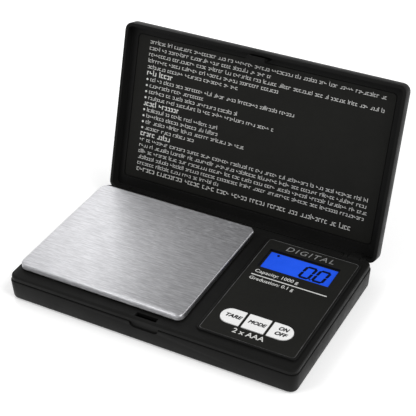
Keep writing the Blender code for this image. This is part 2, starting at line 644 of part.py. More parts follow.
def key(index, looks):
    """One third of the key row, with a flange that keeps it in and the switch that it presses."""
    name = KEY_NAMES[index]
    x = key_limits(index)
    centre = Vector((sum(x) / 2, sum(KEY_ROW_Y) / 2, SWITCH_TOP_Z))
    axis = frame(f"key_{name}_axis", centre, bpy.data.objects["scale_frame"])

    def moved(shape):
        bmesh.ops.translate(shape, vec=-centre, verts=shape.verts)
        return shape

    cap = mesh_object(f"key_{name}", moved(pill(0, (FLANGE_Z, KEY_TOP_Z))), looks["key"], axis)
    join(cap, "flange", moved(pill(KEY_FLANGE + FIT, (FLANGE_Z, FLANGE_TOP_Z))))
    room = 2 * SWITCH
    low = x[0] - room if index == 0 else x[0]
    high = x[1] + room if index == len(KEY_NAMES) - 1 else x[1]
    keep = block((low, high), (KEY_ROW_Y[0] - room, KEY_ROW_Y[1] + room), (0, PAN_TOP_Z))
    combine(cap, "segment", moved(keep), "INTERSECT")
    plunger_z = (SWITCH_TOP_Z - SWITCH_HEIGHT / 2, FLANGE_Z - THIN_FIT)
    mesh_object(f"switch_plunger_{name}", moved(post(centre.x, centre.y, plunger_z, PLUNGER_R)),
                looks["chip"], axis)
    half = SWITCH / 2
    body = mesh_object(
        f"switch_{name}",
        block((centre.x - half, centre.x + half), (centre.y - half, centre.y + half),
              (BOARD_TOP_Z + THIN_FIT, SWITCH_TOP_Z)),
        looks["steel"],
    )
    well = (SWITCH_TOP_Z - SWITCH_HEIGHT / 2 - KEY_TRAVEL - THIN_FIT, SWITCH_TOP_Z + FIT)
    cut(body, "well", post(centre.x, centre.y, well, PLUNGER_R + BORE_FIT))


# ---------------------------------------------------------------- weighing parts

def load_cell(looks):
    bar = mesh_object("load_cell", block(CELL_X, CELL_Y, (CELL_Z, CELL_TOP_Z)), looks["aluminium"])
    middle_z = (CELL_Z + CELL_TOP_Z) / 2
    flexure_x = (PAN_CENTRE_X - FLEXURE, PAN_CENTRE_X + FLEXURE)
    for index, x in enumerate(flexure_x):
        cut(bar, f"flexure_{index}", rod((x, CELL_CENTRE_Y, middle_z), CELL_HOLE_R, 2 * CELL_WIDTH, "Y"))
    cut(bar, "flexure_slot", block(flexure_x, (CELL_Y[0] - FIT, CELL_Y[1] + FIT),
                                   (middle_z - FLEXURE_SLOT, middle_z + FLEXURE_SLOT)))
    for end, free in (("fixed", False), ("free", True)):
        for index, x in enumerate(cell_screw_xs(free)):
            cut(bar, f"{end}_{index}", post(x, CELL_CENTRE_Y, (0, DECK_Z), CELL_SCREW_R + BORE_FIT))
    for index, x in enumerate(cell_screw_xs(free=False)):
        screw(f"cell_screw_fixed_{index + 1}", x, CELL_CENTRE_Y, UNDERSIDE_Z + FIT, CELL_TOP_Z - FIT,
              CELL_SCREW_R, CELL_SCREW_HEAD_R, looks["steel"])
    pad_x = (PAN_CENTRE_X - GAUGE[0] / 2, PAN_CENTRE_X + GAUGE[0] / 2)
    pad_y = (CELL_CENTRE_Y - GAUGE[1] / 2, CELL_CENTRE_Y + GAUGE[1] / 2)
    for name, z in (("upper", (CELL_TOP_Z + THIN_FIT, CELL_TOP_Z + GAUGE_COAT)),
                    ("lower", (CELL_Z - GAUGE_COAT, CELL_Z - THIN_FIT))):
        mesh_object(f"strain_gauge_{name}", slab(pad_x, pad_y, z, GAUGE_R, segments=3), looks["gauge"])


def platform(looks):
    centre = Vector((PAN_CENTRE_X, sum(PAN_Y) / 2, CELL_TOP_Z))
    axis = frame("platform_axis", centre, bpy.data.objects["scale_frame"])

    def moved(shape):
        bmesh.ops.translate(shape, vec=-centre, verts=shape.verts)
        return shape

    skirt_z = PAN_TOP_Z - PAN_SKIRT
    pan = mesh_object("platform", moved(slab(PAN_X, PAN_Y, (skirt_z, PAN_TOP_Z), PAN_R, top_edge=PAN_EDGE,
                                             segments=6)), looks["steel"], axis)
    inner_x = (PAN_X[0] + PAN_SHEET, PAN_X[1] - PAN_SHEET)
    inner_y = (PAN_Y[0] + PAN_SHEET, PAN_Y[1] - PAN_SHEET)
    cut(pan, "underside", moved(slab(inner_x, inner_y, (skirt_z - FIT, PAN_UNDER_Z), PAN_R - PAN_SHEET,
                                     segments=6)))
    plate_x = (PAN_X[0] + CARRIER_INSET, PAN_X[1] - CARRIER_INSET)
    plate_y = (PAN_Y[0] + CARRIER_INSET, PAN_Y[1] - CARRIER_INSET)
    plate = slab(plate_x, plate_y, (CARRIER_Z, CARRIER_TOP_Z), PAN_R)
    carrier = mesh_object("platform_carrier", moved(plate), looks["inner"], axis)
    post_z = (POST_Z, CARRIER_TOP_Z - THIN_FIT)
    join(carrier, "post", moved(block((CELL_X[1] - CELL_END, CELL_X[1]), CELL_Y, post_z)))
    head_top = CARRIER_TOP_Z - THIN_FIT
    for index, x in enumerate(cell_screw_xs(free=True)):
        shank = (POST_Z - FIT, PAN_TOP_Z)
        cut(carrier, f"hole_{index}", moved(post(x, CELL_CENTRE_Y, shank, CELL_SCREW_R + BORE_FIT)))
        seat = (head_top - SCREW_HEAD - FIT, PAN_TOP_Z)
        cut(carrier, f"seat_{index}", moved(post(x, CELL_CENTRE_Y, seat, CELL_SCREW_HEAD_R + BORE_FIT)))
        screw(f"cell_screw_free_{index + 1}", x, CELL_CENTRE_Y, head_top, CELL_Z + 2 * SCREW_HEAD,
              CELL_SCREW_R, CELL_SCREW_HEAD_R, looks["steel"], head_below=False, parent=axis)


# ---------------------------------------------------------------- batteries

def battery(name, y, flipped, look):
    """An AAA cell: a can with its button at +X, or at -X when it is flipped."""
    plate_room = CONTACT + 2 * FIT
    can = BATTERY_LENGTH - BUTTON
    if flipped:
        start = BAY_X[0] + plate_room
        can_x = start + BUTTON + can / 2
        button_x = start + BUTTON
    else:
        end = BAY_X[1] - plate_room
        can_x = end - BUTTON - can / 2
        button_x = end - BUTTON
    shape = rod((can_x, y, BATTERY_Z), CELL_R, can, "X", 32)
    rims = [e for e in shape.edges if abs(e.verts[0].co.x - e.verts[1].co.x) < 1e-7]
    round_edges(shape, rims, BATTERY_EDGE, 1)
    made = mesh_object(name, shape, look)
    join(made, "button", rod((button_x, y, BATTERY_Z), BUTTON_R, 2 * BUTTON, "X", 20))


def battery_ys():
    middle = sum(BAY_Y) / 2
    return (middle - BATTERY_PITCH / 2, middle + BATTERY_PITCH / 2)


def coil(name, x, y, toward, look):
    """A conical contact spring of round wire, narrowing away from its plate."""
    wide, narrow = COIL_R
    curve = bpy.data.curves.new(name, "CURVE")
    curve.dimensions = "3D"
    curve.bevel_depth = COIL_WIRE_R
    curve.bevel_resolution = 1
    curve.use_fill_caps = True
    spline = curve.splines.new("POLY")
    count = COIL_TURNS * COIL_STEPS
    spline.points.add(count)
    for index, point in enumerate(spline.points):
        share = index / count
        radius = wide + (narrow - wide) * share
        angle = 2 * pi * COIL_TURNS * share
        along = x + toward * COIL_DEPTH * share
        point.co = (along, y + radius * cos(angle), BATTERY_Z + radius * sin(angle), 1)
    guide = bpy.data.objects.new(name, curve)
    bpy.data.collections[CUTTERS].objects.link(guide)
    bpy.context.view_layer.update()
    evaluated = guide.evaluated_get(bpy.context.evaluated_depsgraph_get())
    mesh = bpy.data.meshes.new_from_object(evaluated)
    bm = bmesh.new()
    bm.from_mesh(mesh)
    bmesh.ops.remove_doubles(bm, verts=bm.verts, dist=1e-6)
    bpy.data.objects.remove(guide)
    bpy.data.curves.remove(curve)
    bpy.data.meshes.remove(mesh)
    return bm


def contact(name, x, ys, springs, toward, look):
    """A spring-steel plate behind one battery or both, with a coil for each battery that it pushes."""
    plate_y = (min(ys) - CONTACT_HALF, max(ys) + CONTACT_HALF)
    plate_x = sorted((x, x + toward * CONTACT))
    plate_z = (BATTERY_Z - CONTACT_HALF, BATTERY_Z + CONTACT_HALF)
    plate = mesh_object(name, block(plate_x, plate_y, plate_z), look)
    for index, y in enumerate(springs):
        start = x + toward * CONTACT / 2
        join(plate, f"coil_{index}", coil(f"{name}_coil_{index}", start, y, toward, look))
    return plate


def battery_parts(looks):
    front_y, back_y = battery_ys()
    battery("battery_front", front_y, False, looks["can"])
    battery("battery_back", back_y, True, looks["can"])
    contact("contact_bridge", BAY_X[0] + BORE_FIT, (front_y, back_y), (front_y,), 1, looks["steel"])
    contact("contact_positive", BAY_X[1] - BORE_FIT, (front_y,), (), -1, looks["steel"])
    contact("contact_negative", BAY_X[1] - BORE_FIT, (back_y,), (back_y,), -1, looks["steel"])


def battery_door(look):
    """The cover under the batteries, which slides out at the left end on two tongues."""
    x = (-HALF_W + DRAFT + FIT, BAY_X[1] - FIT)
    panel_z = (UNDERSIDE_Z, UNDERSIDE_Z + DOOR)
    centre = Vector((x[0], sum(BAY_Y) / 2, UNDERSIDE_Z))
    axis = frame("battery_door_axis", centre, bpy.data.objects["scale_frame"])

    def moved(shape):
        bmesh.ops.translate(shape, vec=-centre, verts=shape.verts)
        return shape

    panel = block(x, (BAY_Y[0] + BORE_FIT, BAY_Y[1] - BORE_FIT), panel_z)
    door = mesh_object("battery_door", moved(panel), look, axis)
    tongue_y = (BAY_Y[0] - DOOR_TONGUE + BORE_FIT, BAY_Y[1] + DOOR_TONGUE - BORE_FIT)
    join(door, "tongues", moved(block(x, tongue_y, (UNDERSIDE_Z + DOOR_LIP + BORE_FIT, panel_z[1]))))
    for index in range(GRIP_COUNT):
        groove_x = x[0] + GRIP_START + index * GRIP_PITCH
        grip = block((groove_x, groove_x + GRIP_WIDTH), (centre.y - GRIP_HALF, centre.y + GRIP_HALF),
                     (0, UNDERSIDE_Z + GRIP_DEPTH))
        cut(door, f"grip_{index}", moved(grip))


# ---------------------------------------------------------------- feet, screws and wires

def feet(look):
    names = ("front_left", "back_left", "front_right", "back_right")
    for name, (x, y) in zip(names, corners(*FOOT_PLACE)):
        shape = post(x, y, (0, UNDERSIDE_Z + FOOT_RECESS - THIN_FIT), FOOT_R, 24)
        round_edges(shape, level_edges(shape, 0), 0.25 * MM, 1)
        mesh_object(f"foot_{name}", shape, look)


def case_screws(look):
    names = ("front_left", "back_left", "front_right", "back_right")
    for name, (x, y) in zip(names, corners(*CASE_SCREW_PLACE)):
        screw(f"case_screw_{name}", x, y, UNDERSIDE_Z + FIT, PARTING_Z - FIT, SCREW_R, SCREW_HEAD_R, look)


def wires(looks):
    """The two battery leads and the load cell's lead, from where they start to the circuit board."""
    front_y, back_y = battery_ys()
    start_x = BAY_X[1] + BAY_WALL
    board_x = BOARD_X[0] + 3 * MM
    under = BOARD_Z - 1.0 * MM
    for name, y, far_y, look in (
        ("battery_lead_positive", front_y, LEAD_FAR_Y[0], looks["red_wire"]),
        ("battery_lead_negative", back_y, LEAD_FAR_Y[1], looks["black_wire"]),
    ):
        route = [
            (start_x + FIT, y, PARTING_Z - 2 * MM),
            (start_x + 6 * MM, y, PARTING_Z - 3 * MM),
            (start_x + 16 * MM, (y + far_y) / 2, under),
            (board_x - 6 * MM, far_y, under - 1 * MM),
            (board_x, far_y, under),
        ]
        tube(name, route, LEAD_R, look)
    side_y = CELL_Y[0] - 1.2 * MM
    low = FLOOR_Z + 1.5 * MM
    route = [
        (PAN_CENTRE_X, side_y, (CELL_Z + CELL_TOP_Z) / 2),
        (PAN_CENTRE_X + 8 * MM, side_y, low + 1 * MM),
        (CELL_X[1] - 6 * MM, side_y, low),
        (CELL_X[1] + 6 * MM, side_y - 1 * MM, low),
        (board_x - 6 * MM, side_y - 2 * MM, under - 1 * MM),
        (board_x, side_y - 2 * MM, under),
    ]
    tube("load_cell_lead", route, CABLE_R, looks["grey_wire"])


# ---------------------------------------------------------------- lid

def lid(looks):
    """The cover, modelled closed about its hinge axis and then swung open."""
    closed = Vector((0, HINGE_Y, HINGE_Z))
    axis = frame("lid_axis", closed, bpy.data.objects["scale_frame"], -LID_SWING)

    def hung(shape):
        bmesh.ops.translate(shape, vec=-closed, verts=shape.verts)
        return shape

    x, y = (-HALF_W, HALF_W), (-HALF_D, HALF_D)
    top = LID_RIM_Z + LID_DEPTH
    shell = mesh_object("lid", hung(slab(x, y, (LID_RIM_Z, top), LID_R, top_edge=LID_EDGE,
                                         bottom_edge=FIT, segments=5)), looks["case"], axis)
    inner_x = (x[0] + LID_WALL, x[1] - LID_WALL)
    inner_y = (y[0] + LID_WALL, y[1] - LID_WALL)
    roof = top - LID_SKIN
    below = LID_RIM_Z - LID_WALL
    cut(shell, "tray", hung(slab(inner_x, inner_y, (below, roof - LID_LEDGE_STEP), LID_R - LID_WALL)))
    sheet_x = (inner_x[0] + LID_LEDGE, inner_x[1] - LID_LEDGE)
    sheet_y = (inner_y[0] + LID_LEDGE, inner_y[1] - LID_HINGE_LEDGE)
    cut(shell, "sheet_seat", hung(slab(sheet_x, sheet_y, (below, roof), LID_R / 2)))
    hook_y = (HOOK_Y - HOOK / 2, HOOK_Y + HOOK / 2)
    hook_x = (LATCH_X - HOOK_WIDTH / 2, LATCH_X + HOOK_WIDTH / 2)
    join(shell, "hook", hung(block(hook_x, hook_y, (LID_RIM_Z - HOOK_REACH, roof))))
    barb_z = LID_RIM_Z - HOOK_REACH + THIN_FIT
    join(shell, "barb", hung(block((hook_x[0] + FIT, hook_x[1] - FIT), (hook_y[0] - HOOK_BARB, HOOK_Y),
                                   (barb_z, barb_z + 2 * HOOK_BARB))))
    for side in (-1, 1):
        lug = sorted((side * LUG_X[0], side * LUG_X[1]))
        boss_r = KNUCKLE_R - FIT / 3
        middle = (sum(lug) / 2, HINGE_Y, HINGE_Z)
        join(shell, f"lug_{side}", hung(rod(middle, boss_r, lug[1] - lug[0], "X", 24)))
        web = block(lug, (HINGE_Y - boss_r, HALF_D), (HINGE_Z, LID_RIM_Z + LID_WALL))
        join(shell, f"web_{side}", hung(web))
        bore = rod(middle, PIN_R + BORE_FIT, 2 * (lug[1] - lug[0]), "X", 16)
        cut(shell, f"bore_{side}", hung(bore))
    sheet = slab((sheet_x[0] + FIT, sheet_x[1] - FIT), (sheet_y[0] + FIT, sheet_y[1] - LID_HINGE_GAP),
                 (roof - THIN_FIT - LID_SHEET, roof - THIN_FIT), LID_R / 2)
    mesh_object("lid_instruction_sheet", hung(sheet), looks["panel"], axis)
    for side, name in ((-1, "left"), (1, "right")):
        ends = (side * (LUG_X[0] - KNUCKLE + FIT), side * (LUG_X[1] + KNUCKLE))
        pin = rod((sum(ends) / 2, HINGE_Y, HINGE_Z), PIN_R, abs(ends[1] - ends[0]), "X", 16)
        mesh_object(f"hinge_pin_{name}", pin, looks["steel"])


# ---------------------------------------------------------------- assembly

def centre_footprint():
    """Moves the whole scale so that the world origin is the middle of what the open scale covers."""
    bpy.context.view_layer.update()
    lid_shape = bpy.data.objects["lid"].evaluated_get(bpy.context.evaluated_depsgraph_get())
    rearmost = max((lid_shape.matrix_world @ vert.co).y for vert in lid_shape.data.vertices)
    bpy.data.objects["scale_frame"].location.y = (HALF_D - rearmost) / 2


def build():
    clear_scene()
    looks = make_materials()
    frame("scale_frame", (0, 0, 0))
    bottom_shell(looks["case"])
    top_cover(looks["case"])
    panel_label(looks["panel"])
    display(looks)
    circuit_board(looks)
    for index in range(len(KEY_NAMES)):
        key(index, looks)
    load_cell(looks)
    platform(looks)
    battery_parts(looks)
    battery_door(looks["case"])
    feet(looks["rubber"])
    case_screws(looks["steel"])
    wires(looks)
    lid(looks)
    centre_footprint()


build()
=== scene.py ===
"""Looks for a pocket gram scale with a hinged lid: fine shells, print, display, keys and finishes."""

import json
import random
from math import cos, radians, sin

import bmesh
import bpy
from mathutils import Matrix, Vector


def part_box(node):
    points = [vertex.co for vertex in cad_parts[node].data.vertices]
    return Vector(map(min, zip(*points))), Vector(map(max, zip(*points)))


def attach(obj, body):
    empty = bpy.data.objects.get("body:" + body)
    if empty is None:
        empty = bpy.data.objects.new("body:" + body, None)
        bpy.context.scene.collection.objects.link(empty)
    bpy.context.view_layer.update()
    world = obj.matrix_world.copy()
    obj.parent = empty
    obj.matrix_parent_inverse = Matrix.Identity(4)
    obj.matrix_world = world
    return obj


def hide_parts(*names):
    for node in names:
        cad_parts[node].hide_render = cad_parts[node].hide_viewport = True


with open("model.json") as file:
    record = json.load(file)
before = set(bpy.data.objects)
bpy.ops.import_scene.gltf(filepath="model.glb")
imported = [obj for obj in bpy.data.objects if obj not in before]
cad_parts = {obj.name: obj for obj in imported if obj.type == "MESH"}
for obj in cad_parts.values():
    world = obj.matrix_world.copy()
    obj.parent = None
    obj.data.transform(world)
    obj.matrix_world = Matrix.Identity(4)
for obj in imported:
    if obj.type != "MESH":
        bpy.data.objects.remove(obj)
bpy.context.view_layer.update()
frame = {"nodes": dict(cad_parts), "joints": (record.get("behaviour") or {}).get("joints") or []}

MM = 0.001
BRUSHED_UV = "across the brushing"
# How far each kind of edge is rolled over
BASE_ROLL = 0.22 * MM
DECK_ROLL = 0.18 * MM
LID_ROLL = 0.3 * MM
THIN_ROLL = 0.12 * MM
FILM_ROLL = 0.05 * MM

# ---------------------------------------------------------------- places taken from the frame


def node_points(node):
    return [vert.co.copy() for vert in frame["nodes"][node].data.vertices]


def span(node, axis, origin=Vector((0, 0, 0))):
    """How far a node reaches along a direction, as (lowest, highest)."""
    reach = [(point - origin).dot(axis) for point in node_points(node)]
    return min(reach), max(reach)


COVER_LOW, COVER_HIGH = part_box("top_cover")
BASE = Vector(((COVER_LOW.x + COVER_HIGH.x) / 2, (COVER_LOW.y + COVER_HIGH.y) / 2, 0))
LABEL_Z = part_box("panel_label")[1].z
GLASS_LOW, GLASS_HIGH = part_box("display_glass")
HINGE = next(joint for joint in frame["joints"] if joint["name"] == "lid_hinge")
HINGE_AT = Vector(HINGE["pos_m"])
LEAN = radians(HINGE["range_deg"][1] - 90)
LID_X = Vector((1, 0, 0))
LID_UP = Vector((0, sin(LEAN), cos(LEAN)))
LID_OUT = Vector((0, -cos(LEAN), sin(LEAN)))
SHEET_FACE = span("lid_instruction_sheet", LID_OUT, HINGE_AT)[1]
LID_EDGE_DOWN = -0.384 * MM


def on_lid(x, up, out=0.0):
    """A point on the printed face of the lid's sheet, measured up from the lid's hinge edge."""
    return HINGE_AT + LID_X * x + LID_UP * (up + LID_EDGE_DOWN) + LID_OUT * (SHEET_FACE + out)


def lid_matrix(x, up, out=0.0):
    place = Matrix((LID_X, LID_UP, LID_OUT)).transposed().to_4x4()
    place.translation = on_lid(x, up, out)
    return place


def label_matrix(x, y, out=0.0):
    return Matrix.Translation((BASE.x + x, BASE.y + y, LABEL_Z + out))


# ---------------------------------------------------------------- node helpers for materials


class Finish:
    """A Principled material and the few nodes that give it grain, colour change and relief."""

    def __init__(self, name, colour, roughness, metallic=0.0, specular=0.5):
        self.material = bpy.data.materials.new(name)
        self.material.use_nodes = True
        self.tree = self.material.node_tree
        self.shader = self.tree.nodes["Principled BSDF"]
        self.set("Base Color", (*colour, 1))
        self.set("Roughness", roughness)
        self.set("Metallic", metallic)
        self.set("Specular IOR Level", specular)
        self.place = self.add("ShaderNodeTexCoord").outputs["Object"]

    def set(self, socket, value):
        self.shader.inputs[socket].default_value = value

    def add(self, kind, **settings):
        node = self.tree.nodes.new(kind)
        for key, value in settings.items():
            if key in node.inputs:
                node.inputs[key].default_value = value
            else:
                setattr(node, key, value)
        return node

    def link(self, source, target):
        self.tree.links.new(source, target)

    def stretched(self, scale):
        mapping = self.add("ShaderNodeMapping")
        mapping.inputs["Scale"].default_value = scale
        self.link(self.place, mapping.inputs["Vector"])
        return mapping.outputs["Vector"]

    def noise(self, scale, detail=4.0, place=None, roughness=0.55):
        node = self.add("ShaderNodeTexNoise", Scale=scale, Detail=detail, Roughness=roughness)
        self.link(place or self.place, node.inputs["Vector"])
        return node.outputs["Fac"]

    def ramp(self, value, low, high, start=0.0, end=1.0):
        """The value spread from start to end onto low to high."""
        node = self.add("ShaderNodeMapRange")
        for socket, number in (("From Min", start), ("From Max", end), ("To Min", low), ("To Max", high)):
            node.inputs[socket].default_value = number
        self.link(value, node.inputs["Value"])
        return node.outputs["Result"]

    def colours(self, value, low, high, start=0.3, end=0.7):
        node = self.add("ShaderNodeValToRGB")
        node.color_ramp.elements[0].position = start
        node.color_ramp.elements[0].color = (*low, 1)
        node.color_ramp.elements[1].position = end
        node.color_ramp.elements[1].color = (*high, 1)
        self.link(value, node.inputs["Fac"])
        return node.outputs["Color"]

    def vary_colour(self, value, low, high, start=0.3, end=0.7):
        self.link(self.colours(value, low, high, start, end), self.shader.inputs["Base Color"])

    def vary_roughness(self, value, low, high, start=0.3, end=0.7):
        self.link(self.ramp(value, low, high, start, end), self.shader.inputs["Roughness"])

    def relief(self, *layers):
        """Bumps laid over each other, each a (value, depth in metres) pair."""
        normal = None
        for value, depth in layers:
            bump = self.add("ShaderNodeBump")
            bump.inputs["Strength"].default_value = 1.0
            bump.inputs["Distance"].default_value = depth
            self.link(value, bump.inputs["Height"])
            if normal:
                self.link(normal, bump.inputs["Normal"])
            normal = bump.outputs["Normal"]
        self.link(normal, self.shader.inputs["Normal"])


def moulded_plastic(name, dark, light, roughness, grain=0.012 * MM, specular=0.25):
    """Satin moulded plastic: a fine etched grain, with faint handling marks."""
    made = Finish(name, dark, roughness, specular=specular)
    etched = made.noise(4200, 3)
    cloudy = made.noise(45, 3)
    made.vary_colour(cloudy, dark, light)
    made.vary_roughness(made.noise(160, 4), roughness - 0.05, roughness + 0.08)
    made.relief((etched, grain), (made.noise(900, 2), grain / 2))
    return made


def brushed_steel(name, light, dark, roughness, lines, depth=0.004 * MM, brushing=0.0):
    """Bright metal with fine uneven lines, and highlights drawn out across the brushing."""
    made = Finish(name, light, roughness, metallic=1.0)
    if brushing:
        made.set("Anisotropic", brushing)
        tangent = made.add("ShaderNodeTangent", direction_type="UV_MAP", uv_map=BRUSHED_UV)
        made.link(tangent.outputs["Tangent"], made.shader.inputs["Tangent"])
    fine = made.noise(1.0, 3, made.stretched(lines))
    broad = made.noise(1.0, 2, made.stretched([part / 3 for part in lines]))
    mixed = made.add("ShaderNodeMath", operation="MULTIPLY")
    made.link(fine, mixed.inputs[0])
    made.link(broad, mixed.inputs[1])
    made.vary_colour(mixed.outputs["Value"], dark, light, 0.14, 0.4)
    made.vary_roughness(fine, roughness - 0.06, roughness + 0.1)
    made.relief((fine, depth), (broad, depth / 2))
    return made


def make_finishes():
    made = {}
    made["case"] = moulded_plastic(
        "black satin plastic", (0.0075, 0.0075, 0.0072), (0.0095, 0.0095, 0.0091), 0.42, specular=0.09)
    made["inner"] = moulded_plastic(
        "dark grey inner plastic", (0.04, 0.04, 0.043), (0.055, 0.055, 0.06), 0.55)

    label = Finish("matt print film", (0.006, 0.006, 0.0053), 0.6, specular=0.1)
    label.vary_colour(label.noise(60, 4), (0.0122, 0.0122, 0.011), (0.0142, 0.0142, 0.0128))
    label.vary_roughness(label.noise(500, 3), 0.52, 0.66)
    label.relief((label.noise(6500, 2), 0.004 * MM))
    made["film"] = label

    ink = Finish("white print ink", (0.62, 0.62, 0.6), 0.55, specular=0.3)
    ink.vary_colour(ink.noise(1400, 3), (0.62, 0.62, 0.6), (0.8, 0.8, 0.78))
    ink.relief((ink.noise(5000, 2), 0.003 * MM))
    made["ink"] = ink

    grey_ink = Finish("silver print ink", (0.4, 0.4, 0.4), 0.45, specular=0.3)
    grey_ink.vary_colour(grey_ink.noise(1400, 3), (0.2, 0.2, 0.2), (0.3, 0.3, 0.3))
    made["grey_ink"] = grey_ink

    # Painted highlight: a light grey line round the print film, standing in for light caught along the
    # label's edge.
    edge = Finish("painted highlight along the print film's edge", (0.1, 0.1, 0.1), 0.4, specular=0.4)
    edge.vary_colour(edge.noise(220, 4), (0.05, 0.05, 0.05), (0.16, 0.16, 0.16))
    made["film_edge"] = edge

    # Black print ink for the key words; the same material also paints shade as a dark band round the
    # display glass.
    black_ink = Finish("black print ink and painted shade", (0.012, 0.012, 0.012), 0.5, specular=0.3)
    black_ink.vary_colour(black_ink.noise(1500, 3), (0.008, 0.008, 0.008), (0.02, 0.02, 0.02))
    made["black_ink"] = black_ink

    made["steel"] = brushed_steel("brushed stainless steel", (0.82, 0.82, 0.845), (0.56, 0.56, 0.58), 0.42,
                                  (420, 4300, 4300), 0.001 * MM, brushing=0.85)
    made["plate"] = brushed_steel(
        "nickel plate", (0.7, 0.69, 0.66), (0.52, 0.51, 0.49), 0.28, (900, 900, 2500))
    made["pressed"] = brushed_steel("pressed switch steel", (0.6, 0.6, 0.61), (0.45, 0.45, 0.46), 0.35,
                                    (400, 2600, 900))
    made["aluminium"] = brushed_steel("milled aluminium", (0.8, 0.8, 0.82), (0.6, 0.6, 0.62), 0.34,
                                      (2600, 90, 2600), 0.006 * MM)

    key = Finish("white key plastic", (0.8, 0.8, 0.8), 0.38, specular=0.4)
    key.vary_colour(key.noise(90, 3), (0.9, 0.9, 0.895), (0.95, 0.95, 0.945))
    key.vary_roughness(key.noise(700, 3), 0.33, 0.44)
    key.relief((key.noise(3600, 2), 0.004 * MM))
    made["key"] = key

    rubber = Finish("black rubber", (0.02, 0.02, 0.02), 0.85, specular=0.2)
    rubber.vary_colour(rubber.noise(300, 4), (0.016, 0.016, 0.016), (0.035, 0.035, 0.034))
    rubber.relief((rubber.noise(2500, 4), 0.02 * MM))
    made["rubber"] = rubber

    glow = Finish("blue lit display", (0.01, 0.05, 0.45), 0.16, specular=0.4)
    centre = glow.add("ShaderNodeMapping")
    middle = (GLASS_LOW + GLASS_HIGH) / 2
    centre.inputs["Location"].default_value = -middle
    glow.link(glow.place, centre.inputs["Vector"])
    reach = glow.add("ShaderNodeVectorMath", operation="LENGTH")
    glow.link(centre.outputs["Vector"], reach.inputs[0])
    lit = glow.colours(reach.outputs["Value"], (0.014, 0.08, 0.66), (0.008, 0.055, 0.54), 0.004, 0.022)
    glow.link(lit, glow.shader.inputs["Emission Color"])
    glow.set("Emission Strength", 0.68)
    glow.vary_colour(glow.noise(260, 3), (0.008, 0.05, 0.42), (0.012, 0.06, 0.5))
    glow.vary_roughness(glow.noise(800, 2), 0.13, 0.2)
    made["display"] = glow

    segment = Finish("dark display segment", (0.004, 0.006, 0.02), 0.3, specular=0.3)
    segment.vary_colour(segment.noise(2000, 2), (0.003, 0.004, 0.015), (0.006, 0.009, 0.03))
    made["segment"] = segment

    guide = Finish("milky light guide", (0.78, 0.84, 0.95), 0.4)
    guide.vary_colour(guide.noise(200, 3), (0.72, 0.8, 0.93), (0.82, 0.87, 0.96))
    guide.set("Subsurface Weight", 0.2)
    guide.set("Subsurface Radius", (0.002, 0.002, 0.002))
    made["diffuser"] = guide

    board = Finish("green circuit board", (0.01, 0.12, 0.05), 0.35)
    traces = board.add("ShaderNodeTexBrick", Scale=260.0)
    board.link(board.place, traces.inputs["Vector"])
    traces.inputs["Color1"].default_value = (0.008, 0.09, 0.035, 1)
    traces.inputs["Color2"].default_value = (0.012, 0.12, 0.05, 1)
    traces.inputs["Mortar"].default_value = (0.02, 0.2, 0.08, 1)
    board.link(traces.outputs["Color"], board.shader.inputs["Base Color"])
    board.relief((traces.outputs["Fac"], 0.03 * MM))
    made["board"] = board

    chip = Finish("moulded epoxy", (0.014, 0.014, 0.014), 0.5, specular=0.3)
    chip.vary_colour(chip.noise(400, 4), (0.01, 0.01, 0.01), (0.022, 0.022, 0.022))
    chip.relief((chip.noise(3500, 3), 0.01 * MM))
    made["epoxy"] = chip

    jacket = Finish("printed battery sleeve", (0.22, 0.24, 0.27), 0.3, metallic=0.5)
    bands = jacket.add("ShaderNodeSeparateXYZ")
    jacket.link(jacket.place, bands.inputs["Vector"])
    jacket.vary_colour(jacket.ramp(bands.outputs["X"], 0, 1, -0.0320, -0.0318), (0.03, 0.03, 0.035),
                       (0.42, 0.43, 0.45), 0.45, 0.55)
    jacket.vary_roughness(jacket.noise(600, 3), 0.26, 0.36)
    made["jacket"] = jacket

    sealant = Finish("gauge sealant", (0.72, 0.72, 0.68), 0.5)
    sealant.vary_colour(sealant.noise(500, 4), (0.62, 0.62, 0.58), (0.78, 0.78, 0.74))
    sealant.relief((sealant.noise(900, 3), 0.05 * MM))
    made["sealant"] = sealant

    wire_colours = (("red", (0.45, 0.02, 0.02)), ("black", (0.02, 0.02, 0.02)),
                    ("grey", (0.28, 0.28, 0.29)))
    for name, colour in wire_colours:
        wire = Finish(f"{name} wire jacket", colour, 0.45, specular=0.4)
        darker, lighter = ([part * share for part in colour] for share in (0.8, 1.2))
        wire.vary_colour(wire.noise(700, 3), darker, lighter)
        wire.relief((wire.noise(3000, 2), 0.01 * MM))
        made[f"{name}_wire"] = wire
    return {name: finish.material for name, finish in made.items()}


# ---------------------------------------------------------------- pieces


def finished(name, bm, look, body, smooth=True):
    """A bmesh in the row's frame as a piece that rides on a body."""
    mesh = bpy.data.meshes.new(name)
    bm.to_mesh(mesh)
    bm.free()
    mesh.materials.append(look)
    if smooth:
        mesh.shade_smooth()
        mesh.set_sharp_from_angle(angle=radians(32))
    piece = bpy.data.objects.new(name, mesh)
    bpy.context.scene.collection.objects.link(piece)
    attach(piece, body)
    return piece


def softened(name, node, look, body, width, segments=3, brushed=False):
    """A piece in a CAD node's shape, edges rolled over; a brushed one is mapped across its lines."""
    bm = bmesh.new()
    bm.from_mesh(frame["nodes"][node].data)
    bmesh.ops.remove_doubles(bm, verts=bm.verts, dist=0.002 * MM)
    bmesh.ops.dissolve_limit(bm, angle_limit=radians(0.6), verts=bm.verts, edges=bm.edges)
    if brushed:
        layer = bm.loops.layers.uv.new(BRUSHED_UV)
        for corner in (corner for face in bm.faces for corner in face.loops):
            x, y, z = corner.vert.co
            corner[layer].uv = (y - z, x + 0.2 * z)
    piece = finished(name, bm, look, body)
    bevel = piece.modifiers.new("rolled edges", "BEVEL")
    bevel.width = width
    bevel.segments = segments
    bevel.limit_method = "ANGLE"
    bevel.angle_limit = radians(35)
    bevel.use_clamp_overlap = True
    bevel.harden_normals = False
    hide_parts(node)
    return piece


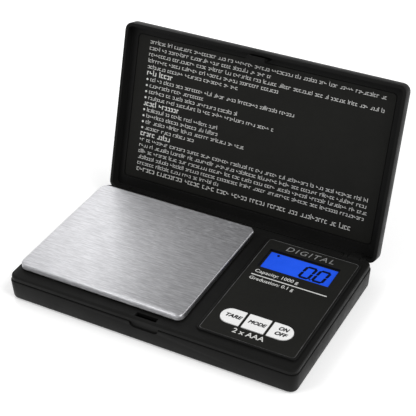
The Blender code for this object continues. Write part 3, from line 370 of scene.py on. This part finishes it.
def placed_text(name, words, size, width, matrix, look, body, slant=0.0, bold=0.0, doubled=0.0,
                align="LEFT", spacing=1.0):
    """Flat lettering with a little thickness, drawn out to a width, its baseline at the matrix's origin."""
    curve = bpy.data.curves.new(name, "FONT")
    curve.body = words
    curve.size = size
    curve.shear = slant
    curve.offset = bold
    curve.align_x = align
    curve.space_character = spacing
    curve.extrude = 0.015 * MM
    curve.resolution_u = 3
    guide = bpy.data.objects.new(name + "_guide", curve)
    bpy.context.scene.collection.objects.link(guide)
    bpy.context.view_layer.update()
    mesh = bpy.data.meshes.new_from_object(guide.evaluated_get(bpy.context.evaluated_depsgraph_get()))
    bpy.data.objects.remove(guide)
    bm = bmesh.new()
    bm.from_mesh(mesh)
    bpy.data.meshes.remove(mesh)
    bmesh.ops.remove_doubles(bm, verts=bm.verts, dist=0.002 * MM)
    bmesh.ops.dissolve_degenerate(bm, dist=0.002 * MM, edges=bm.edges)
    if doubled:
        first = [*bm.verts, *bm.edges, *bm.faces]
        for count, (right, up) in enumerate(((1, 0), (0, 1), (1, 1)), start=1):
            twin = bmesh.ops.duplicate(bm, geom=first)["geom"]
            bmesh.ops.translate(bm, vec=(right * doubled, up * doubled, count * 0.003 * MM),
                                verts=[part for part in twin if isinstance(part, bmesh.types.BMVert)])
    reach = [vert.co.x for vert in bm.verts]
    bmesh.ops.scale(bm, vec=(width / (max(reach) - min(reach)), 1, 1), verts=bm.verts)
    bmesh.ops.transform(bm, matrix=matrix, verts=bm.verts)
    bmesh.ops.recalc_face_normals(bm, faces=bm.faces)
    return finished(name, bm, look, body, smooth=False)


def add_box(bm, x, y, z, slant=0.0):
    """A box between limits, with its top leaning in X by the slant."""
    made = bmesh.ops.create_cube(bm, size=1)["verts"]
    for vert in made:
        vert.co.x = x[1] if vert.co.x > 0 else x[0]
        vert.co.y = y[1] if vert.co.y > 0 else y[0]
        vert.co.z = z[1] if vert.co.z > 0 else z[0]
        vert.co.x += slant * vert.co.y
    return made


def thin_frame(name, x, y, z, corner, width, look, body):
    """A flat band that runs round the inside of a round-cornered rectangle."""
    bm = bmesh.new()
    bmesh.ops.create_grid(bm, x_segments=1, y_segments=1, size=0.5)
    bmesh.ops.scale(bm, vec=(x[1] - x[0], y[1] - y[0], 1), verts=bm.verts)
    bmesh.ops.translate(bm, vec=((x[0] + x[1]) / 2, (y[0] + y[1]) / 2, z[0]), verts=bm.verts)
    if corner:
        bmesh.ops.bevel(bm, geom=list(bm.verts), offset=corner, segments=4, profile=0.5, affect="VERTICES",
                        material=-1)
    inner = list(bm.faces)
    bmesh.ops.inset_region(bm, faces=inner, thickness=width, use_boundary=True, use_even_offset=True)
    bmesh.ops.delete(bm, geom=inner, context="FACES")
    raised = bmesh.ops.extrude_face_region(bm, geom=list(bm.faces))["geom"]
    top_verts = [v for v in raised if isinstance(v, bmesh.types.BMVert)]
    bmesh.ops.translate(bm, vec=(0, 0, z[1] - z[0]), verts=top_verts)
    bmesh.ops.recalc_face_normals(bm, faces=bm.faces)
    return finished(name, bm, look, body, smooth=False)


# ---------------------------------------------------------------- shells


def shells(looks):
    softened("base_bottom", "bottom_shell", looks["case"], "base", BASE_ROLL)
    softened("base_deck", "top_cover", looks["case"], "base", DECK_ROLL)
    softened("lid_shell", "lid", looks["case"], "lid", LID_ROLL)
    softened("weighing_pan", "platform", looks["steel"], "platform", THIN_ROLL, brushed=True)
    softened("battery_cover", "battery_door", looks["case"], "battery_door", THIN_ROLL)
    softened("panel_film", "panel_label", looks["film"], "base", FILM_ROLL, 2)
    softened("lid_film", "lid_instruction_sheet", looks["film"], "lid", FILM_ROLL, 2)
    for name in ("tare", "mode", "power"):
        softened(f"{name}_key_cap", f"key_{name}", looks["key"], f"key_{name}", 0.25 * MM, 3)


# ---------------------------------------------------------------- display


SEGMENT_WIDTH = 1.4 * MM
SEGMENT_GAP = 0.1 * MM
DIGIT = (4.1 * MM, 7.4 * MM)
DIGIT_SLANT = 0.14


def bar(bm, x, y, upright):
    """One display segment: a bar with pointed ends, flat on the glass."""
    half = SEGMENT_WIDTH / 2
    length = (DIGIT[1] / 2 if upright else DIGIT[0]) - SEGMENT_WIDTH - SEGMENT_GAP
    made = bmesh.ops.create_circle(bm, cap_ends=True, segments=6, radius=half)["verts"]
    if not upright:
        bmesh.ops.rotate(bm, matrix=Matrix.Rotation(radians(30), 3, "Z"), verts=made)
    for vert in made:
        if upright:
            vert.co.y += length / 2 if vert.co.y > 0 else -length / 2
        else:
            vert.co.x += length / 2 if vert.co.x > 0 else -length / 2
    bmesh.ops.translate(bm, vec=(x, y, 0), verts=made)


def digit_zero(bm, x, y):
    """The six outer bars of a seven-bar digit, from its lower left corner."""
    w, h = DIGIT
    places = ((w / 2, 0, False), (w / 2, h, False), (0, h / 4, True), (w, h / 4, True),
              (0, 3 * h / 4, True), (w, 3 * h / 4, True))
    for dx, dy, upright in places:
        start = len(bm.verts)
        bar(bm, dx, dy, upright)
        bm.verts.ensure_lookup_table()
        made = bm.verts[start:]
        for vert in made:
            vert.co.x += DIGIT_SLANT * vert.co.y + x
            vert.co.y += y


def display(looks):
    """The readout of the empty scale: nought point nought, and the small stable mark."""
    bm = bmesh.new()
    digit_zero(bm, 41.3 * MM, 15.6 * MM)
    digit_zero(bm, 47.3 * MM, 15.6 * MM)
    for x, y, size in ((46.35 * MM, 15.5 * MM, 0.45 * MM), (28.3 * MM, 24.3 * MM, 0.65 * MM)):
        made = bmesh.ops.create_circle(bm, cap_ends=True, segments=12, radius=size)["verts"]
        bmesh.ops.translate(bm, vec=(x, y, 0), verts=made)
    out = bmesh.ops.extrude_face_region(bm, geom=list(bm.faces))
    raised = [part for part in out["geom"] if isinstance(part, bmesh.types.BMVert)]
    bmesh.ops.translate(bm, vec=(0, 0, 0.03 * MM), verts=raised)
    bmesh.ops.recalc_face_normals(bm, faces=bm.faces)
    bmesh.ops.translate(bm, vec=(BASE.x, BASE.y, GLASS_HIGH.z + 0.01 * MM), verts=bm.verts)
    finished("display_digits", bm, looks["segment"], "base", smooth=False)
    softened("display_front", "display_glass", looks["display"], "base", 0.15 * MM, 2)
    # A dark band round the edge of the display glass: painted shade of the window walls falling on the
    # display.
    thin_frame("display_painted_shade_border", (GLASS_LOW.x + 0.9 * MM, GLASS_HIGH.x - 0.9 * MM),
               (GLASS_LOW.y + 0.3 * MM, GLASS_HIGH.y - 0.6 * MM),
               (GLASS_HIGH.z + 0.005 * MM, GLASS_HIGH.z + 0.03 * MM),
               0, 1.4 * MM, looks["black_ink"], "base")


# ---------------------------------------------------------------- print on the panel and keys


def panel_print(looks):
    ink, film = looks["ink"], "printed_sheet"
    out = 0.02 * MM
    placed_text("panel_heading", "DIGITAL", 4.3 * MM, 21.5 * MM, label_matrix(40.5 * MM, 27.6 * MM, out),
                looks["grey_ink"], "base", slant=0.18, align="CENTER", spacing=1.25)
    placed_text("panel_capacity", "Capacity: 1000 g", 2.75 * MM, 19.3 * MM,
                label_matrix(24.4 * MM, 9.1 * MM, out), ink, "base", bold=0.02 * MM)
    placed_text("panel_division", "Graduation: 0.1 g", 2.75 * MM, 19.6 * MM,
                label_matrix(24.2 * MM, 4.1 * MM, out), ink, "base", bold=0.02 * MM)
    placed_text("panel_cells", "2 x AAA", 3.7 * MM, 13.4 * MM,
                label_matrix(39.9 * MM, -28.9 * MM, out), ink,
                "base", bold=0.05 * MM, align="CENTER")
    bm = bmesh.new()
    add_box(bm, (24.0 * MM, 57.4 * MM), (6.95 * MM, 7.5 * MM), (0, 0.03 * MM))
    bmesh.ops.translate(bm, vec=(BASE.x, BASE.y, LABEL_Z + out / 2), verts=bm.verts)
    finished("panel_rule", bm, ink, "base", smooth=False)
    low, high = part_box("panel_label")
    # A light band round the label, a painted highlight of light caught along its edge.
    thin_frame("panel_film_edge",
               (low.x + 0.02 * MM, high.x - 0.02 * MM), (low.y + 0.02 * MM, high.y - 0.02 * MM),
               (LABEL_Z + 0.004 * MM, LABEL_Z + 0.03 * MM), 1.4 * MM, 0.24 * MM,
               looks["film_edge"], "base")
    for left, right in (("tare", "mode"), ("mode", "power")):
        start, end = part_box(f"key_{left}"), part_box(f"key_{right}")
        bm = bmesh.new()
        add_box(bm, (start[1].x + 0.08 * MM, end[0].x - 0.08 * MM),
                (start[0].y + 0.72 * MM, start[1].y - 0.72 * MM), (LABEL_Z - 0.5 * MM, LABEL_Z))
        finished(f"key_divider_{left}", bm, looks["film"], "base", smooth=False)
    for name, lines, size, width in (("tare", ("TARE",), 2.7 * MM, 7.0 * MM),
                                     ("mode", ("MODE",), 2.7 * MM, 7.6 * MM),
                                     ("power", ("ON", "OFF"), 2.8 * MM, 5.2 * MM)):
        low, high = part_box(f"key_{name}")
        flange = 1.0 * MM
        left = low.x + (flange if name == "tare" else 0)
        right = high.x - (flange if name == "power" else 0)
        centre_x = (left + right) / 2 + (0.3 * MM if name == "tare" else 0)
        centre_y = (low.y + high.y) / 2
        for index, words in enumerate(lines):
            drop = (len(lines) - 1) / 2 - index
            place = Matrix.Translation(
                (centre_x, centre_y - 0.36 * size + drop * 3.1 * MM, high.z + 0.01 * MM))
            reach = width * (0.8 if words == "ON" else 1)
            placed_text(f"key_word_{words.lower()}", words, size, reach, place, looks["black_ink"],
                        f"key_{name}", slant=0.25, doubled=0.22 * MM, align="CENTER")


# ---------------------------------------------------------------- print inside the lid


LINE_PITCH = 2.79 * MM
PRINT_LEFT, PRINT_RIGHT = -54.2 * MM, 56.5 * MM
TOP_LINE = 69.4 * MM


def stroke(bm, x, y):
    """A straight printed stroke, a hair short of its limits so that strokes never share an edge."""
    hair = 0.008 * MM
    add_box(bm, (x[0] + hair, x[1] - hair), (y[0] + hair, y[1] - hair), (0, 0.03 * MM))


def mark(bm, kind, x, y, width, height, weight):
    """One word-like mark made of simple strokes, never a letter."""
    if kind == 0:
        stroke(bm, (x, x + weight), (y, y + height * 1.45))
    elif kind == 1:
        stroke(bm, (x, x + weight), (y, y + height))
        stroke(bm, (x + weight, x + width), (y + height - weight, y + height))
    elif kind == 2:
        stroke(bm, (x, x + width), (y, y + weight))
        stroke(bm, (x + width - weight, x + width), (y + weight, y + height))
    elif kind == 3:
        stroke(bm, (x, x + width), (y + height - weight, y + height))
        stroke(bm, (x, x + width), (y, y + weight))
        stroke(bm, (x, x + weight), (y + weight, y + height - weight))
    elif kind == 4:
        stroke(bm, (x, x + width), (y, y + weight))
        stroke(bm, (x, x + width), (y + height - weight, y + height))
        stroke(bm, (x + width - weight, x + width), (y + weight, y + height - weight))
    elif kind == 5:
        stroke(bm, (x, x + width), (y + height / 2 - weight / 2, y + height / 2 + weight / 2))
        stroke(bm, (x, x + weight), (y + height / 2 + weight / 2, y + height))


def word_line(bm, rng, start, end, y, height=1.25 * MM, weight=0.23 * MM, wide=1.0):
    """A line of made-up words from start to end."""
    x = start
    while x < end - 1.2 * MM:
        for _ in range(rng.randint(2, 9)):
            width = rng.uniform(0.7, 1.05) * MM * wide
            kind = rng.choice((0, 1, 2, 3, 3, 4, 4, 5))
            step = weight if kind == 0 else width
            if x + step > end:
                return
            mark(bm, kind, x, y - height / 2, width, height, weight)
            x += step + 0.3 * MM * wide
        x += 0.9 * MM * wide


def lid_print(looks):
    """Twenty-two lines of made-up print in five blocks, as a closed thin relief on the lid's sheet."""
    rng = random.Random(7)
    ends = (56.5, 5, 56.5, 10, -9.5, -40, 18, -24, -8.5, 9.5, -35,
            -17, -15, -3, -26.5, -38, 56.5, 56.5, 56.5, 56.5, -12, 51)
    headings, bullets = (5, 10, 15), (6, 7, 8, 9, 11, 12, 13, 14)
    bm = bmesh.new()
    for index, end in enumerate(ends):
        y = TOP_LINE - index * LINE_PITCH
        start = PRINT_LEFT
        if index in bullets:
            disc = bmesh.ops.create_cone(bm, cap_ends=True, segments=10, radius1=0.5 * MM, radius2=0.5 * MM,
                                         depth=0.03 * MM)["verts"]
            bmesh.ops.translate(bm, vec=(start + 0.5 * MM, y, 0.015 * MM), verts=disc)
            start += 2 * MM
        if index in headings:
            word_line(bm, rng, start, end * MM, y, 1.75 * MM, 0.42 * MM, 1.25)
        elif index == len(ends) - 1:
            word_line(bm, rng, start, end * MM, y, 1.7 * MM, 0.3 * MM, 1.3)
        else:
            word_line(bm, rng, start, end * MM, y)
    bmesh.ops.transform(bm, matrix=lid_matrix(0, 0, 0.01 * MM), verts=bm.verts)
    finished("lid_print", bm, looks["ink"], "lid", smooth=False)


# ---------------------------------------------------------------- finishes of the pieces inside


def dress_inner_nodes(looks):
    wanted = {
        "platform_carrier": "inner", "load_cell": "aluminium", "circuit_board": "board",
        "controller_chip": "epoxy", "converter_chip": "epoxy", "crystal": "plate",
        "display_backlight": "diffuser", "display_connector": "rubber",
        "battery_front": "jacket", "battery_back": "jacket",
        "contact_bridge": "plate", "contact_positive": "plate", "contact_negative": "plate",
        "battery_lead_positive": "red_wire", "battery_lead_negative": "black_wire",
        "load_cell_lead": "grey_wire", "strain_gauge_upper": "sealant", "strain_gauge_lower": "sealant",
        "hinge_pin_left": "plate", "hinge_pin_right": "plate",
    }
    for name in ("tare", "mode", "power"):
        wanted[f"switch_{name}"] = "pressed"
        wanted[f"switch_plunger_{name}"] = "epoxy"
    for name, node in frame["nodes"].items():
        if "screw" in name:
            wanted[name] = "plate"
        if name.startswith("foot_"):
            wanted[name] = "rubber"
        if name in wanted:
            for place in range(len(node.material_slots)):
                node.material_slots[place].material = looks[wanted[name]]


# ---------------------------------------------------------------- stage


def stage():
    floor_look = Finish("pale floor", (0.93, 0.93, 0.93), 0.35, specular=0.3)
    floor_look.vary_roughness(floor_look.noise(8, 3), 0.3, 0.4)
    floor_look.set("Emission Color", (1, 1, 1, 1))
    floor_look.set("Emission Strength", 0.3)
    bm = bmesh.new()
    bmesh.ops.create_grid(bm, x_segments=2, y_segments=2, size=4)
    mesh = bpy.data.meshes.new("floor")
    bm.to_mesh(mesh)
    bm.free()
    mesh.materials.append(floor_look.material)
    floor = bpy.data.objects.new("floor", mesh)
    bpy.context.scene.collection.objects.link(floor)

    world = bpy.data.worlds.new("studio")
    world.use_nodes = True
    bpy.context.scene.world = world
    back = world.node_tree.nodes["Background"]
    back.inputs["Color"].default_value = (1, 1, 1, 1)
    back.inputs["Strength"].default_value = 0.4


def soft_light(name, place, target, size, power, colour=(1, 1, 1)):
    light = bpy.data.lights.new(name, "AREA")
    light.shape = "RECTANGLE"
    light.size, light.size_y = size
    light.energy = power
    light.color = colour
    lamp = bpy.data.objects.new(name, light)
    lamp.location = place
    lamp.visible_camera = False
    lamp.rotation_euler = (Vector(target) - Vector(place)).to_track_quat("-Z", "Y").to_euler()
    bpy.context.scene.collection.objects.link(lamp)


def lights():
    soft_light("back_left_panel", (-0.31, 0.24, 0.24), (-0.05, -0.01, 0.0), (0.26, 0.4), 0.41)
    soft_light("front_left_softbox", (-0.42, -0.62, 0.78), BASE, (0.3, 0.3), 2.2)
    soft_light("right_softbox", (1.9, -0.2, 2.0), BASE, (1.6, 1.6), 42)


# The direction that the scale is looked at from, and the lens, for a 36 mm wide sensor
AZIMUTH, ELEVATION, ROLL = radians(28.31), radians(34.88), radians(-0.79)
CAMERA_FROM_BASE = Vector((199.15 * MM, -354.44 * MM, 325.26 * MM))
LENS = 107.7


def camera():
    data = bpy.data.cameras.new("camera")
    data.lens = LENS
    data.sensor_width = 36
    data.clip_start = 0.01
    made = bpy.data.objects.new("camera", data)
    back = Vector((sin(AZIMUTH) * cos(ELEVATION), -cos(AZIMUTH) * cos(ELEVATION), sin(ELEVATION)))
    right = (-back).cross(Vector((0, 0, 1))).normalized()
    up = right.cross(-back)
    level_right = right * cos(ROLL) + up * sin(ROLL)
    level_up = up * cos(ROLL) - right * sin(ROLL)
    turn = Matrix((level_right, level_up, back)).transposed().to_4x4()
    turn.translation = BASE + CAMERA_FROM_BASE
    made.matrix_world = turn
    bpy.context.scene.collection.objects.link(made)
    bpy.context.scene.camera = made


# ---------------------------------------------------------------- put together


looks = make_finishes()
shells(looks)
display(looks)
panel_print(looks)
lid_print(looks)
dress_inner_nodes(looks)
stage()
lights()
camera()
bpy.context.scene.view_settings.view_transform = "Standard"
bpy.context.view_layer.update()
